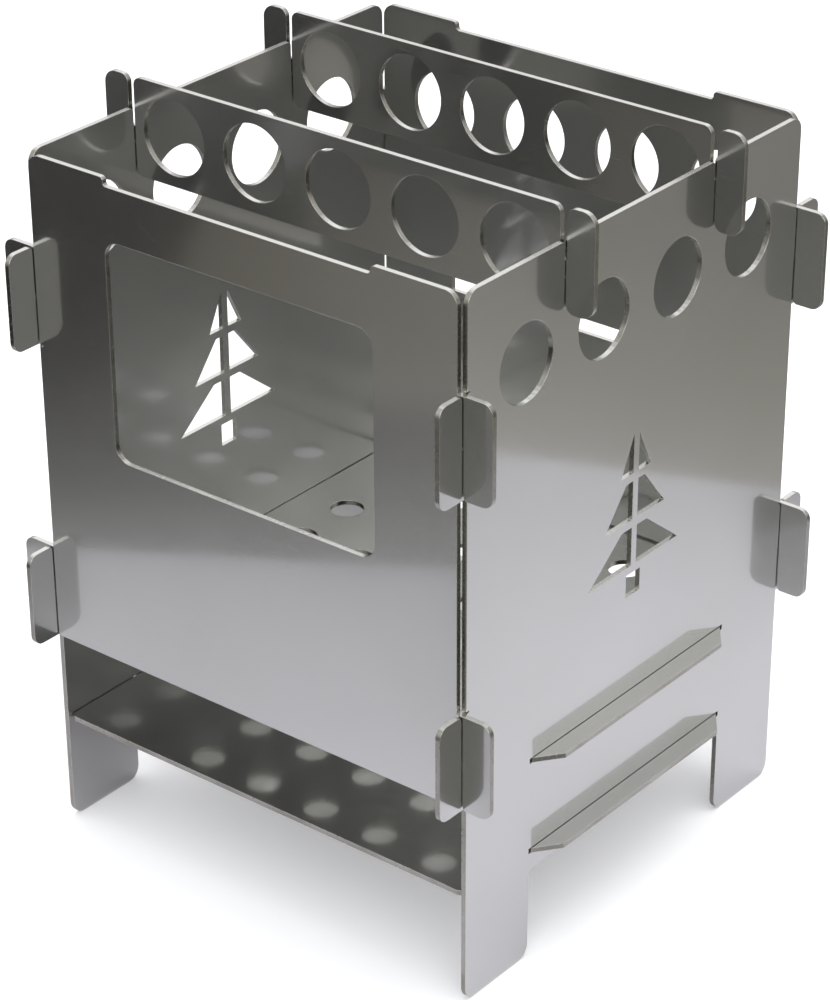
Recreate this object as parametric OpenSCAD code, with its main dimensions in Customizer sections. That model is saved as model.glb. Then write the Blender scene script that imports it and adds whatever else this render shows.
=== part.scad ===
// Flat-pack twig stove: eight loose pieces of stainless sheet that hook and slot together.
// Millimetres. X runs along the front plate, Y from front to back, Z up.
// The origin is on the ground, under the middle of the box.

/* [Sheet] */
// Thickness of every sheet
sheet_t = 1.5; // [1:0.1:2]
// Play on each side of a sheet that sits in a slot or notch
slot_play = 0.3; // [0.2:0.05:0.5]
// Rounding of the two corners at the mouth of a slot or notch
mouth_r = 1.2; // [0.4:0.1:2]

/* [Box] */
// Width across the outer faces of the side plates
box_w = 150; // [120:1:200]
// Depth across the outer faces of the front and back plates
box_d = 152.2; // [125:0.1:200]
// Height of the side plates, from the ground to their top edge
side_h = 213.5; // [200:0.5:260]
// Height of the front and back plates
panel_h = 149.5; // [140:0.5:160]
// Rounding of the top corners of the four walls
top_corner_r = 4; // [1:0.5:8]

/* [Ears] */
// Height of one ear
ear_h = 29.2; // [20:0.2:40]
// How far an ear stands out past the wall that it crosses
ear_out = 9.4; // [6:0.2:14]
// Rounding of the outer corners of an ear
ear_r = 3.2; // [1:0.1:5]
// Height of the upper ears above the lower ones
ear_rise = 93; // [75:1:105]

/* [Legs] */
// Width of the arch between the two legs of a side plate
arch_w = 92.4; // [70:0.2:110]
// Height of the arch
arch_h = 28.6; // [10:0.2:30]
// Rounding of the two upper corners of the arch
arch_r = 2.5; // [0.5:0.5:10]
// Rounding of the corners of the feet
foot_r = 4.5; // [1:0.5:8]

/* [Vent holes] */
// Diameter of the vent holes in the walls and the trivets
vent_d = 22.5; // [16:0.5:24]
// Distance from hole to hole along a wall
vent_pitch = 33.4; // [28:0.2:36]
// Least metal between the outermost hole and the upright edge of a wall
vent_margin = 10; // [6:0.5:11]
// Depth of the hole centres below the top edge of a wall
vent_drop = 28; // [24:0.5:34]

/* [Window] */
// Width of the stoking window
window_w = 92.2; // [60:0.2:110]
// Height of the stoking window
window_h = 66; // [40:1:72]
// Distance from the top edge of the front plate to the window
window_drop = 18; // [12:0.5:30]
// Rounding of the corners of the window
window_r = 5; // [1:0.5:12]
// Length of the shallow recess in the top edges of the front and back plates
recess_w = 91.2; // [60:0.2:110]
// Depth of the recess
recess_h = 2.5; // [1:0.5:6]
// Rounding of the floor corners of the recess
recess_r = 1; // [0.3:0.1:2]

/* [Slot in the back plate] */
// Length of the slot
back_slot_w = 94; // [60:1:110]
// Height of the slot
back_slot_h = 4.6; // [2:0.2:8]
// Distance from the top edge of the back plate to the slot
back_slot_drop = 82; // [60:0.5:100]

/* [Trivets] */
// Height of a trivet from its bottom edge to the pot
trivet_h = 29.2; // [27:0.2:36]
// How far a trivet rises above the side plates
trivet_rise = 9.2; // [5:0.2:12]
// Distance between the middle planes of the two trivets
trivet_gap = 66.8; // [50:0.2:90]
// Depth of the slots in the side plates that hold the trivets
trivet_slot_h = 10; // [6:0.5:14]
// Metal left between the two notches at each end of a trivet
trivet_bridge = 4.7; // [3:0.1:8]
// How far the ears of a trivet stand out past the side plates
trivet_ear_out = 9; // [6:0.1:14]
// Rounding of the outer corners of a trivet's ears
trivet_ear_r = 4; // [1:0.5:4.5]
// Rounding of the two corners at the mouth of a trivet's notches
trivet_mouth_r = 2.5; // [0.6:0.1:3]
// Metal between the outermost hole of a trivet and the inner face of a side plate
trivet_margin = 3.45; // [3:0.05:8]
// Least metal between two holes of a trivet
trivet_web = 6.5; // [4:0.5:7]

/* [Grate and ash tray] */
// How far the grate's underside lies below the lower edges of the front and back plates
grate_drop = 0.5; // [0:0.1:6]
// Height of the ash tray's underside above the ground
tray_z = 34; // [32:0.5:45]
// Room above a sheet in its closed slot
slot_headroom = 0.2; // [0.1:0.1:1]
// Length of a tab where it leaves the side plate
tab_root = 90; // [60:1:110]
// Length of a tab at its outer edge
tab_tip = 75; // [50:1:100]
// How far a tab stands out past the side plate
tab_out = 5.7; // [3:0.1:12]
// Room at each end of a tab in its slot
tab_play = 1.2; // [0.3:0.1:3]
// Room between the front and back edges of a floor plate and the walls
floor_play = 1; // [0.5:0.1:3]
// Rounding of the corners of a floor plate
floor_r = 2; // [0.5:0.5:6]
// Diameter of the holes in the grate
grate_hole_d = 10.6; // [6:0.2:14]
// Distance from hole to hole in the grate
grate_pitch = 22.4; // [18:0.2:24]
// Least metal between the outermost holes of the grate and its edges
grate_margin = 8; // [6:0.5:11]

/* [Cut-out tree] */
// Height of the whole tree
tree_h = 50; // [30:1:55]
// Width of its lowest tier
tree_w = 42; // [24:1:60]
// Height of the foot of the tree above the grate
tree_lift = 31; // [15:1:45]
// Number of tiers
tree_tiers = 3; // [2:1:5]
// Width of the bars left between the cuts
tree_bar = 2.4; // [1.5:0.1:4]
// Width of the trunk
trunk_w = 6.5; // [4:0.5:10]
// Height of the trunk
trunk_h = 7; // [4:0.5:12]
// Length of a tier's top edge on each side, as a share of the width of its foot
tier_taper = 0.22; // [0.1:0.02:0.6]

/* [Hidden] */
$fn = 96;
// Extra length of a cut where it leaves the sheet
cut = 2;
// Thin overlap that keeps the edge of a corner cut off the edge of the sheet
lap = 0.5;
slot_w = sheet_t + 2 * slot_play;
steel = [0.72, 0.72, 0.73];

// Each wall stops at its play short of the inner face of the wall that it meets
side_half = box_d / 2 - sheet_t - slot_play;
panel_half = box_w / 2 - sheet_t - slot_play;
// Middle planes of the walls, where they cross each other's ears
side_mid = box_w / 2 - sheet_t / 2;
panel_mid = box_d / 2 - sheet_t / 2;
panel_z = side_h - panel_h;
ear_feet = [panel_z, panel_z + ear_rise];
side_ear_tip = box_d / 2 + ear_out;
panel_ear_tip = box_w / 2 + ear_out;
vent_z = side_h - vent_drop;
grate_z = panel_z - grate_drop;
tree_z = grate_z + sheet_t + tree_lift;
trivet_seat_z = side_h - trivet_slot_h;
trivet_top_z = side_h + trivet_rise;
trivet_bottom_z = trivet_top_z - trivet_h;
trivet_tip = box_w / 2 + trivet_ear_out;
trivet_vent_z = trivet_bottom_z + trivet_h / 2;
trivet_foot_notch_h = trivet_seat_z - trivet_bottom_z;
trivet_notch_h = trivet_h - trivet_foot_notch_h - trivet_bridge;
trivet_inner_half = box_w / 2 - sheet_t;
trivet_holes = fit_count(trivet_inner_half, trivet_margin, vent_d, vent_d + trivet_web);
trivet_pitch = 2 * (trivet_inner_half - trivet_margin - vent_d / 2) / (trivet_holes - 1);
slot_len = tab_root + 2 * tab_play;
slot_h = sheet_t + slot_headroom;
floor_half = box_d / 2 - sheet_t - floor_play;
tier_h = (tree_h - trunk_h - tree_tiers * tree_bar) / tree_tiers;

// How many holes of diameter d fit at a pitch on a sheet of this half-width, clear of its edges
function fit_count(half, margin, d, pitch) = 1 + floor(2 * (half - margin - d / 2) / pitch);

// What is cut from a square corner at the origin, with the sheet above and to its right
module corner_cut(r) {
    difference() {
        translate([-lap, -lap]) square(r + lap);
        translate([r, r]) circle(r);
    }
}

// Upright rectangle with a rounding for each corner: bottom left, bottom right, top right, top left
module panel(x0, x1, z0, z1, r) {
    corners = [[x0, z0], [x1, z0], [x1, z1], [x0, z1]];
    difference() {
        translate([x0, z0]) square([x1 - x0, z1 - z0]);
        for (i = [0 : 3])
            if (r[i] > 0)
                translate(corners[i]) rotate(90 * i) corner_cut(r[i]);
    }
}

// Slot that is open upwards, with its mouth at z = 0
module open_slot(w, depth, floor_corner_r, mouth_corner_r) {
    panel(-w / 2, w / 2, -depth, cut, [floor_corner_r, floor_corner_r, 0, 0]);
    for (side = [0, 1])
        mirror([side, 0]) translate([w / 2, 0]) rotate(-90) corner_cut(mouth_corner_r);
}

// The same slot, open downwards
module open_slot_down(w, depth, floor_corner_r, mouth_corner_r) {
    mirror([0, 1]) open_slot(w, depth, floor_corner_r, mouth_corner_r);
}

// Row of round holes, centred on the middle of the sheet
module hole_row(count, pitch, z, d) {
    for (i = [0 : count - 1])
        translate([(i - (count - 1) / 2) * pitch, z]) circle(d = d);
}

// Row of vent holes near the top edge of a wall of this half-width
module vent_row(half) {
    hole_row(fit_count(half, vent_margin, vent_d, vent_pitch), vent_pitch, vent_z, vent_d);
}

// Ears on both upright edges: solid from inside the plate out to the tip
module ears(edge, tip) {
    for (side = [0, 1], foot = ear_feet)
        mirror([side, 0]) panel(edge - cut, tip, foot, foot + ear_h, [0, ear_r, ear_r, 0]);
}

// Fir tree in tiers, split by a spine, with a trunk under it
module tree() {
    translate([-trunk_w / 2, 0]) square([trunk_w, trunk_h]);
    for (i = [0 : tree_tiers - 1]) {
        foot = trunk_h + tree_bar + i * (tier_h + tree_bar);
        half = tree_w / 2 * (tree_tiers - i) / tree_tiers;
        crown = i == tree_tiers - 1 ? 0 : half * tier_taper;
        for (side = [0, 1])
            mirror([side, 0])
                polygon([[tree_bar / 2, foot],
                         [half, foot],
                         [tree_bar / 2 + crown, foot + tier_h],
                         [tree_bar / 2, foot + tier_h]]);
    }
}

// Outline of a side plate, seen along X: the wall, its legs and its ears, with all that is cut out
module side_outline() {
    difference() {
        union() {
            panel(-side_half, side_half, 0, side_h, [foot_r, foot_r, top_corner_r, top_corner_r]);
            ears(side_half, side_ear_tip);
        }
        open_slot_down(arch_w, arch_h, arch_r, foot_r);
        vent_row(side_half);
        for (side = [-1, 1]) {
            translate([side * trivet_gap / 2, side_h]) open_slot(slot_w, trivet_slot_h, 0, mouth_r);
            for (foot = ear_feet)
                translate([side * panel_mid, foot + ear_h]) open_slot(slot_w, ear_h / 2, 0, mouth_r);
        }
        for (z = [grate_z, tray_z])
            panel(-slot_len / 2, slot_len / 2, z, z + slot_h, [0, 0, 0, 0]);
        translate([0, tree_z]) tree();
    }
}

// Outline shared by the front and back plates, seen along Y
module panel_outline() {
    difference() {
        union() {
            panel(-panel_half, panel_half, panel_z, side_h, [0, 0, top_corner_r, top_corner_r]);
            ears(panel_half, panel_ear_tip);
        }
        translate([0, side_h]) open_slot(recess_w, recess_h, recess_r, mouth_r);
        for (side = [-1, 1], foot = ear_feet)
            translate([side * side_mid, foot]) open_slot_down(slot_w, ear_h / 2, 0, mouth_r);
    }
}

// Outline of a trivet: one bar with a notch above and below where it crosses each side plate
module trivet_outline() {
    outer_r = [trivet_ear_r, trivet_ear_r, trivet_ear_r, trivet_ear_r];
    difference() {
        panel(-trivet_tip, trivet_tip, trivet_bottom_z, trivet_top_z, outer_r);
        hole_row(trivet_holes, trivet_pitch, trivet_vent_z, vent_d);
        for (side = [-1, 1]) {
            translate([side * side_mid, trivet_top_z]) open_slot(slot_w, trivet_notch_h, 0, trivet_mouth_r);
            translate([side * side_mid, trivet_bottom_z])
                open_slot_down(slot_w, trivet_foot_notch_h, 0, trivet_mouth_r);
        }
    }
}

// Floor plate seen from above, with a tab through each side plate
module floor_outline() {
    panel(-panel_half, panel_half, -floor_half, floor_half, [floor_r, floor_r, floor_r, floor_r]);
    for (turn = [0, 180])
        rotate(turn)
            polygon([[panel_half - cut, -tab_root / 2],
                     [box_w / 2, -tab_root / 2],
                     [box_w / 2 + tab_out, -tab_tip / 2],
                     [box_w / 2 + tab_out, tab_tip / 2],
                     [box_w / 2, tab_root / 2],
                     [panel_half - cut, tab_root / 2]]);
}

// Stands an outline up across X, from the plane at x towards +X
module stand_side(x) {
    translate([x, 0, 0]) rotate([90, 0, 90]) linear_extrude(sheet_t) children();
}

// Stands an outline up across Y, from the plane at y towards -Y
module stand_front(y) {
    translate([0, y, 0]) rotate([90, 0, 0]) linear_extrude(sheet_t) children();
}

module left_plate() {
    color(steel) stand_side(-box_w / 2) side_outline();
}

module right_plate() {
    color(steel) stand_side(box_w / 2 - sheet_t) side_outline();
}

module front_plate() {
    window_top = side_h - window_drop;
    round_all = [window_r, window_r, window_r, window_r];
    color(steel) stand_front(sheet_t - box_d / 2)
        difference() {
            panel_outline();
            panel(-window_w / 2, window_w / 2, window_top - window_h, window_top, round_all);
        }
}

module back_plate() {
    slot_top = side_h - back_slot_drop;
    color(steel) stand_front(box_d / 2)
        difference() {
            panel_outline();
            vent_row(panel_half);
            panel(-back_slot_w / 2, back_slot_w / 2, slot_top - back_slot_h, slot_top, [0, 0, 0, 0]);
        }
}

module front_trivet() {
    color(steel) stand_front(sheet_t / 2 - trivet_gap / 2) trivet_outline();
}

module rear_trivet() {
    color(steel) stand_front(sheet_t / 2 + trivet_gap / 2) trivet_outline();
}

module fire_grate() {
    columns = fit_count(panel_half, grate_margin, grate_hole_d, grate_pitch);
    rows = fit_count(floor_half, grate_margin, grate_hole_d, grate_pitch);
    color(steel) translate([0, 0, grate_z]) linear_extrude(sheet_t)
        difference() {
            floor_outline();
            for (i = [0 : rows - 1])
                hole_row(columns, grate_pitch, (i - (rows - 1) / 2) * grate_pitch, grate_hole_d);
        }
}

module ash_tray() {
    color(steel) translate([0, 0, tray_z]) linear_extrude(sheet_t) floor_outline();
}

left_plate();
right_plate();
front_plate();
back_plate();
front_trivet();
rear_trivet();
fire_grate();
ash_tray();
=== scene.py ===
"""Looks for the flat-pack twig stove: semi-bright stainless sheets on a white floor."""
import math

import bmesh
import bpy
from mathutils import Matrix, Vector

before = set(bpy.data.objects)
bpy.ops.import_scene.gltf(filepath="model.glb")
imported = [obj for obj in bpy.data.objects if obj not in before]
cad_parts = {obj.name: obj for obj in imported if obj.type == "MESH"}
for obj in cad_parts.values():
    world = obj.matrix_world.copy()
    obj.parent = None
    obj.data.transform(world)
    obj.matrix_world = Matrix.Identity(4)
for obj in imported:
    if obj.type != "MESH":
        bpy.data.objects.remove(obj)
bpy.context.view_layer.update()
scene = bpy.context.scene
scene.view_settings.view_transform = "Standard"
# The open box mirrors itself many times over, so its light takes more bounces than usual
scene.cycles.glossy_bounces = 16
scene.cycles.max_bounces = 20

WHITE = (1, 1, 1, 1)
X_AXIS, Y_AXIS, Z_AXIS = (1, 0, 0), (0, 1, 0), (0, 0, 1)

# Camera: focal length and principal point in pixels of the photograph, then its place and directions
PHOTO_W, PHOTO_H = 830, 1000
FOCAL_PX, CENTRE_X_PX, CENTRE_Y_PX = 3271.44, 401.52, 562.88
CAMERA_AT = Vector((0.521035, -0.647112, 0.544247))
CAMERA_LOOK = Vector((-0.551899, 0.676265, -0.487927))
CAMERA_RIGHT = Vector((0.777069, 0.629380, -0.006632))
SENSOR_MM = 36
# Farthest distance that the camera sees, in metres
CAMERA_REACH = 20

# Sheet that each node is cut from: the axis that it is thin along
THIN_AXIS = {
    "left_plate": X_AXIS, "right_plate": X_AXIS,
    "front_plate": Y_AXIS, "back_plate": Y_AXIS,
    "front_trivet": Y_AXIS, "rear_trivet": Y_AXIS,
    "fire_grate": Z_AXIS, "ash_tray": Z_AXIS,
}

# Steel: mirrored share of the light on the faces, darkest and palest
FACE_DULL, FACE_BRIGHT = (0.605, 0.607, 0.593, 1), (0.635, 0.637, 0.628, 1)
# Painted light and shade on whole sheets of the same steel, as a share of the rest's tone: below 1 is
# painted shade, above 1 is painted light
SHEET_PAINTED_LIGHT_AND_SHADE = {"left_plate": 1.03, "fire_grate": 1.09, "ash_tray": 0.94, "front_trivet": 0.92,
               "rear_trivet": 0.66}
# Cut edges: burnt by the laser on upright walls, with painted light where they face up, and a painted
# highlight along their arrises
WALL_DULL, WALL_BRIGHT = (0.30, 0.287, 0.25, 1), (0.42, 0.41, 0.38, 1)
UPWARD_EDGE_PAINTED_LIGHT, ARRIS_PAINTED_HIGHLIGHT = (0.80, 0.79, 0.77, 1), (0.88, 0.87, 0.85, 1)
# Upward part of the normal at which the painted light on a cut edge starts, and at which it is full
PAINTED_LIGHT_UPWARD_AT = (0.80, 0.97)
# Rounding of the arrises, in metres, which only the shading shows, its samples, and the cosines between the
# flat and the rounded normal at which the painted highlight along them starts and is full
ARRIS_R, ARRIS_SAMPLES, ARRIS_HIGHLIGHT_AT = 0.0002, 4, (0.98, 0.86)

# Cosine above which a surface counts as facing along an axis
FACING = 0.5

# Noise, as waves per metre, detail and roughness: clouds a hand's width across, finger marks a thumb's
# width across, the fine pits of the cut edges, and the grit of the faces, which is finer than a pixel
CLOUDS, FINGER_MARKS = (14.0, 2.0, 0.5), (60.0, 3.0, 0.55)
PITS, GRIT = (900.0, 2.0, 0.5), (40000.0, 0.0, 0.5)
# Levels between which a noise mostly stays, and those between which the burn of the cut edges changes
NOISE_SPAN, BURN_SPAN = (0.3, 0.7), (0.35, 0.65)

# Roughness: of the clear faces, where finger marks change it, of the cut edges, and what a scratch adds
FACE_ROUGH, EDGE_ROUGH, SCRATCH_ROUGH = (0.075, 0.095), (0.18, 0.30), 0.12
# The rolled surface is a clear mirror with a fine dull grit, which gives each reflection a wide haze: levels
# of the grit between which it turns dull, and the roughness that the dull part adds
GRIT_DULL, GRIT_ROUGH = (0.51, 0.60), 0.27
# The side plates' inner faces are a little duller than their outer ones, and the trivets are duller all over
INNER_SIDE = {"left_plate": X_AXIS, "right_plate": (-1, 0, 0)}
INNER_HAZE, INNER_ROUGH = 0.08, 0.025
TRIVET_ROUGH = 0.06

# Handling scratches: tone and how far it shows, length and width in metres, the noise that is stretched to
# that size, and its levels at which a stroke starts to show and shows fully
SCRATCH, SCRATCH_SHOWS = (0.76, 0.76, 0.75, 1), 0.4
STROKE_LONG, STROKE_WIDE = 0.006, 0.0003
STROKE_NOISE, STROKE_AT = (1.0, 0.5, 0.4), (0.745, 0.745 + 0.06)
# Turns for two directions in the plane of a sheet, by the axis that it is thin along
STROKE_TURNS = {
    X_AXIS: [(0.5, 0, math.pi / 2), (-1.2, 0, math.pi / 2)],
    Y_AXIS: [(0, 0.5, 0), (0, -1.3, 0)],
    Z_AXIS: [(0, 0, 0.5), (0, 0, -1.1)],
}
# Where the noise of either direction starts, and how that place lies along x, y and z
STROKE_SEEDS, SEED_SPREAD = (3.1, 7.9), (1.0, 1.7, 0.3)
# Heights of scratches and clouds, in units of BUMP_M metres, and how far they show
SCRATCH_HEIGHT, CLOUD_HEIGHT, BUMP_M, BUMP_STRENGTH = -0.5, 6.0, 0.00002, 0.3

# White floor: share of the light that it sends back, and the glow that it adds where the background shows
PAPER, FLOOR_GLOW = (0.90, 0.905, 0.92, 1), 0.18
# The stove stands on a pale sheet with a darker table around it. The steel mirrors both. Their tones change
# with
# distance from the stove: partly the table's darker colour, and partly painted light and shade, since the
# sheet is painted brighter next to and under the stove, where the stove shades it. So the tones are given as
# pairs of (distance from the middle of the stove in metres, share of the light sent back)
TOWARDS_FRONT = Vector((-0.530, -0.848, 0))
TOWARDS_RIGHT = Vector((0.882, -0.471, 0))
TOWARDS_BACK = Vector((0.385, 0.923, 0))
PALE_SHEET = [(-0.27, 0.54), (-0.15, 0.67), (-0.04, 0.78), (0.05, 0.78), (0.17, 0.53), (0.266, 0.445)]
SHEET_TINT = (1.005, 0.997, 1.065, 1)
TABLE_FRONT = [(0.266, 0.18), (0.29, 0.145), (0.31, 0.105), (0.36, 0.068), (0.40, 0.044), (0.46, 0.018),
               (0.60, 0.016), (0.95, 0.12)]
TABLE_RIGHT = [(0.165, 0.19), (0.30, 0.18), (0.38, 0.195), (0.43, 0.125)]
TABLE_BACK = [(0.279, 0.285), (0.36, 0.232), (0.48, 0.18)]
TINT_FRONT, TINT_RIGHT, TINT_BACK = (1.0, 0.99, 0.98, 1), (1.0, 0.99, 0.93, 1), (1.0, 0.965, 0.87, 1)
# Shades on the sheet, behind the stove's left side and before its right one: direction, start, end, depth
SHADES = [
    (Vector((-0.63, 0.77, 0)), 0.04, 0.14, 0.7),
    (Vector((0.774, -0.633, 0)), 0.106, 0.122, 0.34),
]
# Paler parts of the table beyond the front edge: start and end across it, start and end outwards, tone
TABLE_FRONT_PATCHES = [
    ((-0.05, 0.05), (0.27, 0.29), (0.05, 0.05, 0.05, 1)),
    ((-0.064, -0.061), (0.37, 0.40), (0.085, 0.078, 0.060, 1)),
]
# The sheet and the table lie just above the white floor, in metres
SHEET_LIFT, TABLE_LIFT = 0.0005, 0.001
FLOOR_R, TABLE_R, TABLE_RIGHT_END = 4.0, 2.0, 0.25

# The room's dim walls: a ring around the stove, in metres, and their tones at the floor and at WALL_PALE_AT,
# which is the sine of an elevation. Overhead the room is white, and brightest from CEILING_AT on.
WALL_R, WALL_TOP, WALL_SIDES = 9.0, 7.1, 48
WALL_LOW, WALL_HIGH, WALL_PALE_AT = (0.28, 0.275, 0.265, 1), (1.0, 1.0, 0.99, 1), 0.488
CEILING, CEILING_AT = (1.55, 1.55, 1.57, 1), 0.87
# The room's left side is a little brighter: x of a direction at which each gain is full, and both gains
LEFT_X, RIGHT_X, LEFT_GAIN, RIGHT_GAIN = -0.55, 0.55, 1.08, 0.92
# Soft lamp in front of the stove, to its right: direction, distance and half width in metres, and the
# cosines at which its gain starts and is full, and that gain
LAMP_SIDE, LAMP_FAR, LAMP_HALF = Vector((0.54, -0.67, 0.51)), 5.0, 3.0
LAMP_AT, LAMP_GAIN = (0.86, 0.97), 2.55
# Lamp overhead: place and side in metres, power in watts
OVERHEAD_AT, OVERHEAD_SIDE, OVERHEAD_W = (0.3, 0.3, 2.4), 1.5, 14


def make_camera():
    look = CAMERA_LOOK.normalized()
    right = (CAMERA_RIGHT - look * CAMERA_RIGHT.dot(look)).normalized()
    up = right.cross(look)
    data = bpy.data.cameras.new("camera")
    data.sensor_width = SENSOR_MM
    data.lens = FOCAL_PX / PHOTO_H * data.sensor_width
    data.shift_x = (PHOTO_W / 2 - CENTRE_X_PX) / PHOTO_H
    data.shift_y = (CENTRE_Y_PX - PHOTO_H / 2) / PHOTO_H
    data.clip_end = CAMERA_REACH
    camera = bpy.data.objects.new("camera", data)
    scene.collection.objects.link(camera)
    turn = Matrix((right, up, -look)).transposed().to_4x4()
    camera.matrix_world = Matrix.Translation(CAMERA_AT) @ turn
    scene.camera = camera


def grey(tone):
    return (tone, tone, tone, 1)


class Nodes:
    """Short hand for building a node tree."""

    def __init__(self, tree):
        self.tree = tree
        self.tree.nodes.clear()

    def feed(self, socket, value):
        if isinstance(value, bpy.types.NodeSocket):
            self.tree.links.new(value, socket)
        else:
            socket.default_value = value

    def add(self, kind, settings=None, **inputs):
        """A new node. An input is named with _ for spaces, or given by its number as i0, i1 and so on."""
        node = self.tree.nodes.new(kind)
        for name, value in (settings or {}).items():
            setattr(node, name, value)
        for name, value in inputs.items():
            key = name.replace("_", " ")
            self.feed(node.inputs[int(key[1:]) if key[0] == "i" and key[1:].isdigit() else key], value)
        return node

    def math(self, operation, a, b=0.0, clamp=False):
        node = self.add("ShaderNodeMath", {"operation": operation, "use_clamp": clamp}, i0=a, i1=b)
        return node.outputs[0]

    def dot(self, a, b):
        return self.add("ShaderNodeVectorMath", {"operation": "DOT_PRODUCT"}, i0=a, i1=b).outputs["Value"]

    def ramp(self, value, low, high, to_low=0.0, to_high=1.0):
        node = self.add("ShaderNodeMapRange", {"clamp": True}, Value=value)
        for name, number in (("From Min", low), ("From Max", high), ("To Min", to_low), ("To Max", to_high)):
            node.inputs[name].default_value = number
        return node.outputs[0]

    def noise(self, where, scale, detail, roughness):
        node = self.add("ShaderNodeTexNoise", Vector=where, Scale=scale, Detail=detail, Roughness=roughness)
        return node.outputs["Fac"]

    def mix_rgb(self, factor, a, b, blend="MIX"):
        node = self.add("ShaderNodeMix", {"data_type": "RGBA", "blend_type": blend}, i0=factor, i6=a, i7=b)
        return node.outputs[2]

    def surface(self, shader):
        self.add("ShaderNodeOutputMaterial", Surface=shader.outputs[0])


def new_material(name):
    material = bpy.data.materials.new(name)
    material.use_nodes = True
    return material, Nodes(material.node_tree)


def strokes(n, where, turn, seed):
    """Sparse thin strokes: noise stretched along one direction, kept only where it peaks."""
    placed = n.add("ShaderNodeMapping", Vector=where, Rotation=turn,
                   Scale=(1 / STROKE_LONG, 1 / STROKE_WIDE, 1 / STROKE_WIDE),
                   Location=[seed * spread for spread in SEED_SPREAD])
    return n.ramp(n.noise(placed.outputs[0], *STROKE_NOISE), *STROKE_AT)


def scratch_marks(n, where, node_name):
    """Few short strokes of two directions, placed differently on sheets that are alike."""
    shift = len(node_name)
    seeds = (STROKE_SEEDS[0] + shift, STROKE_SEEDS[1] + 2 * shift)
    turns = STROKE_TURNS[THIN_AXIS[node_name]]
    first, second = [strokes(n, where, turn, seed) for turn, seed in zip(turns, seeds)]
    return n.math("ADD", first, second, clamp=True)


def face_colour(n, node_name, cloud, scratched):
    colour = n.mix_rgb(n.ramp(cloud, *NOISE_SPAN), FACE_DULL, FACE_BRIGHT)
    # Painted light and shade of this whole sheet
    if node_name in SHEET_PAINTED_LIGHT_AND_SHADE:
        colour = n.mix_rgb(1.0, colour, grey(SHEET_PAINTED_LIGHT_AND_SHADE[node_name]), "MULTIPLY")
    return n.mix_rgb(n.math("MULTIPLY", scratched, SCRATCH_SHOWS), colour, SCRATCH)


def edge_colour(n, film, normal):
    colour = n.mix_rgb(n.ramp(film, *BURN_SPAN), WALL_DULL, WALL_BRIGHT)
    # Painted light on cut edges that face up
    upward = n.add("ShaderNodeSeparateXYZ", Vector=normal).outputs["Z"]
    return n.mix_rgb(n.ramp(upward, *PAINTED_LIGHT_UPWARD_AT), colour, UPWARD_EDGE_PAINTED_LIGHT)


def extra_dullness(n, node_name, normal):
    """Haze and roughness that a sheet has beyond the others'."""
    if node_name.endswith("trivet"):
        return 0.0, TRIVET_ROUGH
    if node_name not in INNER_SIDE:
        return 0.0, 0.0
    on_inside = n.math("GREATER_THAN", n.dot(normal, INNER_SIDE[node_name]), FACING)
    return n.math("MULTIPLY", on_inside, INNER_HAZE), n.math("MULTIPLY", on_inside, INNER_ROUGH)


def face_roughness(n, node_name, where, normal, film, scratched):
    more_haze, more_rough = extra_dullness(n, node_name, normal)
    dull = n.ramp(n.math("ADD", n.noise(where, *GRIT), more_haze), *GRIT_DULL)
    rough = n.math("ADD", n.ramp(film, *NOISE_SPAN, *FACE_ROUGH), more_rough)
    rough = n.math("ADD", rough, n.math("MULTIPLY", scratched, SCRATCH_ROUGH))
    return n.math("ADD", rough, n.math("MULTIPLY", dull, GRIT_ROUGH))


def sheet_material(node_name):
    """Semi-bright rolled stainless: smooth faces with faint marks, and laser-cut edges."""
    material, n = new_material("stainless_" + node_name)
    where = n.add("ShaderNodeTexCoord").outputs["Object"]
    normal = n.add("ShaderNodeNewGeometry").outputs["True Normal"]
    rounded = n.add("ShaderNodeBevel", {"samples": ARRIS_SAMPLES}, Radius=ARRIS_R).outputs["Normal"]
    # Faces look along the sheet's thin axis, and cut edges look across it
    on_edge = n.math("LESS_THAN", n.math("ABSOLUTE", n.dot(normal, THIN_AXIS[node_name])), FACING)
    # Where the painted highlight along the arrises goes
    arris_highlight_mask = n.ramp(n.dot(normal, rounded), *ARRIS_HIGHLIGHT_AT)

    cloud = n.noise(where, *CLOUDS)
    film = n.noise(where, *FINGER_MARKS)
    pits = n.noise(where, *PITS)
    scratched = scratch_marks(n, where, node_name)

    colour = n.mix_rgb(on_edge, face_colour(n, node_name, cloud, scratched), edge_colour(n, film, normal))
    # Painted highlight along the arrises
    colour = n.mix_rgb(arris_highlight_mask, colour, ARRIS_PAINTED_HIGHLIGHT)
    on_face_rough = face_roughness(n, node_name, where, normal, film, scratched)
    on_edge_rough = n.ramp(pits, *NOISE_SPAN, *EDGE_ROUGH)
    rough = n.add("ShaderNodeMix", {"data_type": "FLOAT"}, i0=on_edge, i2=on_face_rough, i3=on_edge_rough)
    height = n.math("ADD", n.math("MULTIPLY", scratched, SCRATCH_HEIGHT),
                    n.math("MULTIPLY", cloud, CLOUD_HEIGHT))
    bump = n.add("ShaderNodeBump", Strength=BUMP_STRENGTH, Distance=BUMP_M, Height=height, Normal=rounded)

    n.surface(n.add("ShaderNodeBsdfPrincipled", Base_Color=colour, Metallic=1.0, Roughness=rough.outputs[0],
                    Normal=bump.outputs["Normal"]))
    return material


def dress_sheets():
    for name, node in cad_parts.items():
        node.data.materials.clear()
        node.data.materials.append(sheet_material(name))


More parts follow.
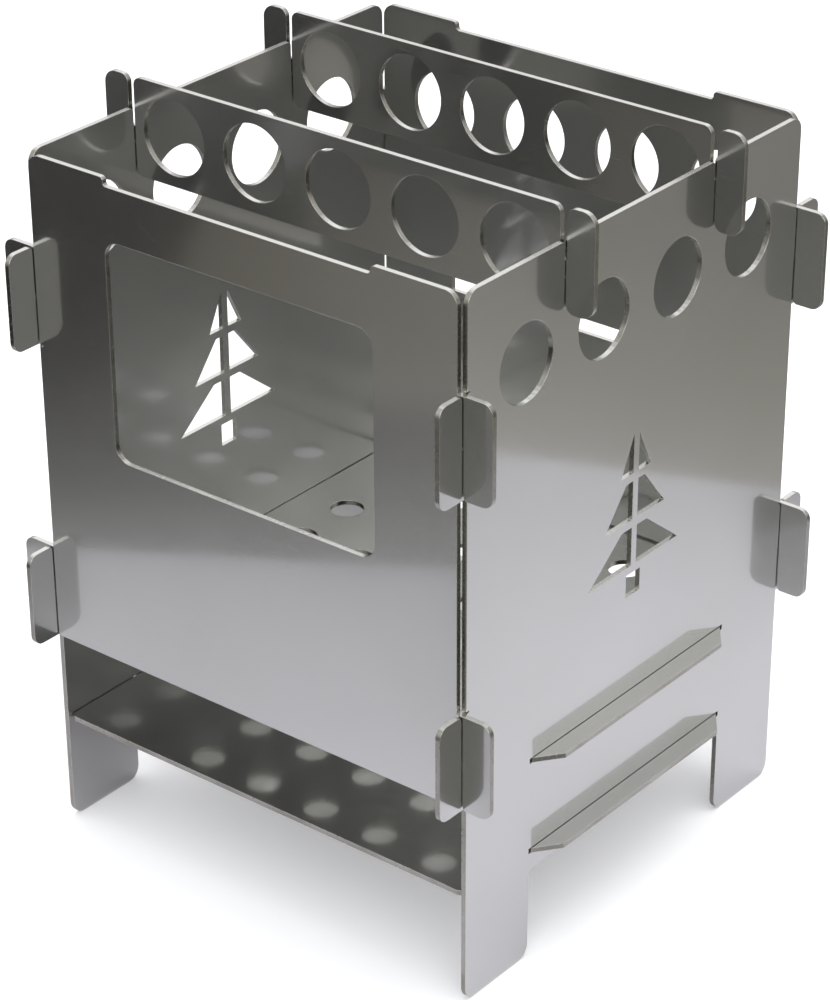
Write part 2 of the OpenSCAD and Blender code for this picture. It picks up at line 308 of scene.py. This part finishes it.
def stage_piece(name, faces, material):
    """A piece made of flat faces that isn't part of the stove."""
    mesh = bpy.data.meshes.new(name)
    b = bmesh.new()
    for corners in faces:
        b.faces.new([b.verts.new(c) for c in corners])
    b.to_mesh(mesh)
    b.free()
    mesh.materials.append(material)
    piece = bpy.data.objects.new(name, mesh)
    scene.collection.objects.link(piece)
    return piece


def only_mirrored(card):
    """The steel mirrors the card; it hides nothing from the camera and takes no light from the floor."""
    card.visible_camera = False
    card.visible_shadow = False
    card.visible_diffuse = False


def floor_corners(half, lift):
    return [(-half, -half, lift), (half, -half, lift), (half, half, lift), (-half, half, lift)]


def shows_background(n):
    """1 for the rays that show the white background: the camera's, and those off metal or through glass."""
    ray = n.add("ShaderNodeLightPath").outputs
    seen = n.math("MAXIMUM", ray["Is Camera Ray"], ray["Is Glossy Ray"])
    return n.math("MAXIMUM", seen, ray["Is Transmission Ray"])


def tone_by_distance(n, place, outward, tones):
    """Grey that follows pairs of (distance along outward, tone)."""
    first, last = tones[0][0], tones[-1][0]
    ramp = n.add("ShaderNodeValToRGB", i0=n.ramp(n.dot(place, outward), first, last))
    stops = ramp.color_ramp.elements
    while len(stops) < len(tones):
        stops.new(0.5)
    for stop, (distance, tone) in zip(stops, tones):
        stop.position = (distance - first) / (last - first)
        stop.color = grey(tone)
    return ramp.outputs["Color"]


def make_floor():
    """White, with the stove's shadow."""
    material, n = new_material("white_floor")
    paper = n.add("ShaderNodeBsdfDiffuse", Color=PAPER)
    strength = n.math("MULTIPLY", shows_background(n), FLOOR_GLOW)
    glow = n.add("ShaderNodeEmission", Color=WHITE, Strength=strength)
    n.surface(n.add("ShaderNodeAddShader", i0=paper.outputs[0], i1=glow.outputs[0]))
    stage_piece("floor", [floor_corners(FLOOR_R, 0)], material)


def make_sheet():
    """The pale sheet under the stove, as the steel mirrors it, with painted light and shade in its tone."""
    material, n = new_material("pale_sheet")
    place = n.add("ShaderNodeTexCoord").outputs["Object"]
    # Painted light: the sheet's tone rises towards the stove, where the stove shades it
    tone = tone_by_distance(n, place, TOWARDS_FRONT, PALE_SHEET)
    for direction, start, end, depth in SHADES:
        shade = n.ramp(n.dot(place, direction), start, end, 1.0, 1.0 - depth)
        tone = n.add("ShaderNodeVectorMath", {"operation": "SCALE"}, i0=tone, Scale=shade).outputs[0]
    n.surface(n.add("ShaderNodeBsdfDiffuse", Color=n.mix_rgb(1.0, tone, SHEET_TINT, "MULTIPLY")))
    only_mirrored(stage_piece("pale_sheet", [floor_corners(WALL_R, SHEET_LIFT)], material))


def table_card(name, outward, run, tones, tint, patches=()):
    """Part of the table beyond one edge of the pale sheet. It goes from run[0] to run[1] along that edge."""
    material, n = new_material(name)
    place = n.add("ShaderNodeTexCoord").outputs["Object"]
    # The tone along outward is partly the table's darker colour and partly painted light and shade
    tone = n.mix_rgb(1.0, tone_by_distance(n, place, outward, tones), tint, "MULTIPLY")
    side = Vector((-outward.y, outward.x, 0))
    for across, out, gain in patches:
        share = n.math("MULTIPLY", n.ramp(n.dot(place, side), *across), n.ramp(n.dot(place, outward), *out))
        tone = n.mix_rgb(share, tone, gain, "ADD")
    n.surface(n.add("ShaderNodeBsdfDiffuse", Color=tone))
    near = tones[0][0]
    corners = [side * s + outward * o + Vector((0, 0, TABLE_LIFT))
               for s, o in ((run[0], near), (run[1], near), (run[1], TABLE_R), (run[0], TABLE_R))]
    only_mirrored(stage_piece(name, [corners], material))


def make_table():
    whole_run = (-TABLE_R, TABLE_R)
    table_card("table_right", TOWARDS_RIGHT, (-TABLE_R, TABLE_RIGHT_END), TABLE_RIGHT, TINT_RIGHT)
    table_card("table_front", TOWARDS_FRONT, whole_run, TABLE_FRONT, TINT_FRONT, TABLE_FRONT_PATCHES)
    table_card("table_back", TOWARDS_BACK, whole_run, TABLE_BACK, TINT_BACK)


def wall_material():
    """Dim at the floor and paler upwards, brighter at the left and where the soft lamp is."""
    material, n = new_material("room_walls")
    place = n.add("ShaderNodeTexCoord").outputs["Object"]
    towards = n.add("ShaderNodeVectorMath", {"operation": "NORMALIZE"}, i0=place).outputs["Vector"]
    direction = n.add("ShaderNodeSeparateXYZ", Vector=towards)
    tone = n.mix_rgb(n.ramp(direction.outputs["Z"], 0.0, WALL_PALE_AT), WALL_LOW, WALL_HIGH)
    side_gain = n.ramp(direction.outputs["X"], LEFT_X, RIGHT_X, LEFT_GAIN, RIGHT_GAIN)
    lamp_gain = n.ramp(n.dot(towards, LAMP_SIDE), *LAMP_AT, 1.0, LAMP_GAIN)
    n.surface(n.add("ShaderNodeEmission", Color=tone, Strength=n.math("MULTIPLY", side_gain, lamp_gain)))
    return material


def make_walls():
    """Glowing dim walls around the stove and a soft lamp before them. Only the camera doesn't see them."""
    material = wall_material()
    turns = [2 * math.pi * i / WALL_SIDES for i in range(WALL_SIDES + 1)]
    foot = [Vector((WALL_R * math.cos(t), WALL_R * math.sin(t), 0)) for t in turns]
    up = Vector((0, 0, WALL_TOP))
    panels = [(a, b, b + up, a + up) for a, b in zip(foot, foot[1:])]
    walls = stage_piece("walls", panels, material)

    out = LAMP_SIDE.normalized()
    across = out.cross(Vector(Z_AXIS)).normalized() * LAMP_HALF
    rise = across.cross(out).normalized() * LAMP_HALF
    middle = out * LAMP_FAR
    lamp = stage_piece("soft_lamp", [(middle - across - rise, middle + across - rise,
                                      middle + across + rise, middle - across + rise)], material)
    walls.visible_camera = False
    lamp.visible_camera = False


def light_room():
    """White background, and a bright ceiling above the stove."""
    world = bpy.data.worlds.new("room")
    scene.world = world
    world.use_nodes = True
    n = Nodes(world.node_tree)
    towards = n.add("ShaderNodeTexCoord").outputs["Generated"]
    height = n.add("ShaderNodeSeparateXYZ", Vector=towards).outputs["Z"]
    ceiling = n.mix_rgb(n.ramp(height, WALL_PALE_AT, CEILING_AT), WALL_HIGH, CEILING)
    colour = n.mix_rgb(shows_background(n), ceiling, WHITE)
    background = n.add("ShaderNodeBackground", Color=colour, Strength=1.0)
    n.add("ShaderNodeOutputWorld", Surface=background.outputs[0])

    data = bpy.data.lights.new("ceiling", "AREA")
    data.shape = "SQUARE"
    data.size = OVERHEAD_SIDE
    data.energy = OVERHEAD_W
    lamp = bpy.data.objects.new("ceiling", data)
    scene.collection.objects.link(lamp)
    lamp.location = OVERHEAD_AT
    lamp.visible_glossy = False


make_camera()
dress_sheets()
make_floor()
make_sheet()
make_table()
make_walls()
light_room()
